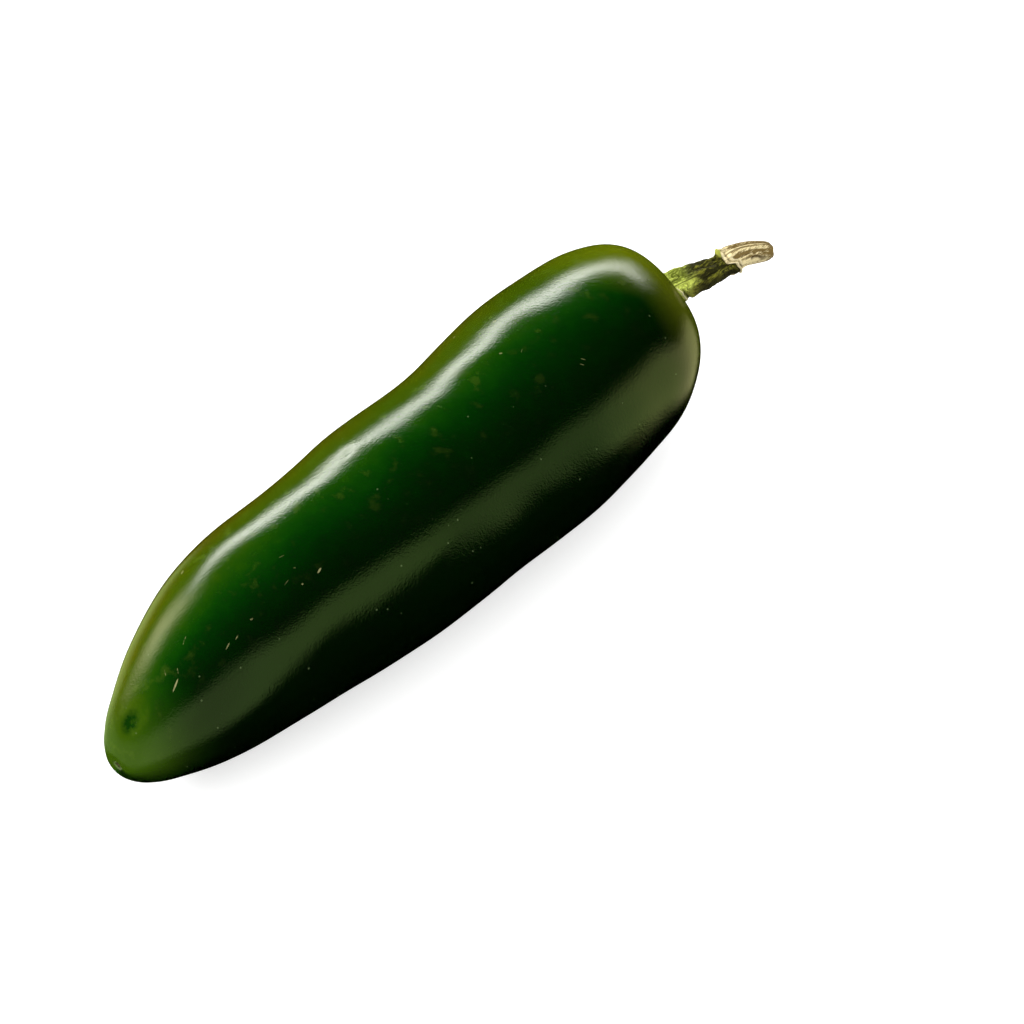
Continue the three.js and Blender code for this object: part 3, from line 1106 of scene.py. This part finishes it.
# %% The card of the bright stripe
STRIPE_CARD = [
    # azimuth, lower edge, upper edge, radiance
    (-10, 19, 31, 0.0), (0, 22, 30, 7.0), (10, 19, 29, 10.8), (18, 17.5, 31, 11.5),
    (23, 19, 33, 12.8), (27, 21, 34.5, 10.3), (36, 19, 32.5, 9.2), (43, 20, 31, 11.2),
    (50, 22, 32, 12.2), (54, 21.5, 32, 11.2), (60, 17.5, 30, 8.0), (68, 15, 24.5, 7.8),
    (75, 13.2, 19.6, 9.0), (81, 11.8, 17.0, 8.5), (87, 10.5, 14.5, 4.0), (91, 8.5, 11, 0.6),
    (94, 8, 10, 0.0),
]
# One tint all the way: azimuth, red, green, blue
STRIPE_TINTS = [(0, 0.99, 1.0, 0.92)]
card("stripe card", STRIPE_CARD, STRIPE_TINTS, 0.42)

# %% The card of the warm patches
WARM_CARD = [
    # azimuth, lower edge, upper edge, radiance
    (-44, 12, 22, 0.0), (-36, 13, 25, 0.6), (-30, 15, 27, 1.3), (-19, 8, 30, 3.6),
    (-13, 7, 33, 5.0), (-8, 12, 33, 5.8), (0, 19, 31, 1.5), (8, 15, 29, 0.0),
]
WARM_TINTS = [(0, 1.0, 0.95, 0.58)]
card("warm card", WARM_CARD, WARM_TINTS, 0.50)

# %% The card of the broad band
FRONT_CARD = [
    # azimuth, lower edge, upper edge, radiance
    (90, -44, -30, 0.5), (95, -43, -14, 0.9), (103, -41, -10, 0.95), (110, -40, -8, 0.90),
    (115, -39, -2, 0.90), (120, -37, 4, 0.95), (126, -33, 11, 1.05), (131, -29, 15, 1.10),
    (138, -21, 15, 1.05), (145, -17, 20, 0.85), (151, -9, 26, 0.68), (155, -4, 27, 0.62),
    (160, 10, 30, 0.74), (168, 12, 34, 0.90), (174, 10, 38, 0.93), (179, 7, 36, 0.94),
    (184, -2, 35, 0.94), (190, -12, 38, 0.95), (200, -15, 41, 0.95), (212, -17, 40, 0.78),
    (222, -18, 38, 0.75), (232, -19, 33, 0.78), (242, -20, 28, 0.80), (252, -22, 27, 0.80),
    (262, -26, 18, 0.5), (280, -28, 10, 0.5), (300, -30, 6, 0.5), (325, -34, -2, 0.5),
    (342, -38, -12, 0.5), (352, -40, -16, 0.6), (368, -48, -16, 0.7), (379, -50, -18, 0.7),
    (384, -50, -20, 0.0),
]
FRONT_TINTS = [
    # azimuth, red, green, blue
    (90, 1.0, 0.98, 0.42), (112, 1.0, 1.0, 0.42), (131, 0.80, 1.0, 0.28), (150, 0.60, 1.0, 0.27),
    (170, 0.58, 1.0, 0.24), (200, 0.60, 1.0, 0.28), (240, 0.70, 1.0, 0.35),
]
card("front card", FRONT_CARD, FRONT_TINTS, 0.22)

# %% [markdown]
# ## The soft light
#
# One large softbox and an even room light the colours of the pepper and the table. Neither shows in
# the skin, where the cards stand for them. That way the brightness of the colours and the shapes in
# the gloss are set apart from each other.


# %% The softbox
def softbox(name, azimuth, low, high, distance, width, radiance):
    """A rectangular light facing the table from that azimuth; low and high are its edges as
    elevations. Its power in watts is pi times its radiance times its area."""
    turn = math.radians(azimuth)
    bottom = distance * math.tan(math.radians(low))
    top = distance * math.tan(math.radians(high))
    data = bpy.data.lights.new(name, "AREA")
    data.shape = "RECTANGLE"
    data.size = width
    data.size_y = top - bottom
    data.energy = math.pi * radiance * width * (top - bottom)
    light = bpy.data.objects.new(name, data)
    light.location = (distance * math.sin(turn), distance * math.cos(turn), (bottom + top) / 2)
    light.rotation_euler = (math.radians(90), 0, math.pi - turn)
    light.visible_camera = False
    light.visible_glossy = False
    bpy.context.scene.collection.objects.link(light)
    print(name, round(data.energy, 1), "watts")


softbox("softbox", azimuth=-18, low=16, high=34, distance=0.9, width=1.1, radiance=10.4)

# %% The room
ROOM_BRIGHTNESS = 1.25

world = bpy.data.worlds.new("room")
bpy.context.scene.world = world
world.use_nodes = True
background = world.node_tree.nodes["Background"]
background.inputs["Color"].default_value = (1, 1, 1, 1)
background.inputs["Strength"].default_value = ROOM_BRIGHTNESS
world.cycles_visibility.glossy = False
bpy.context.scene.view_settings.view_transform = "Standard"
print("room", ROOM_BRIGHTNESS)
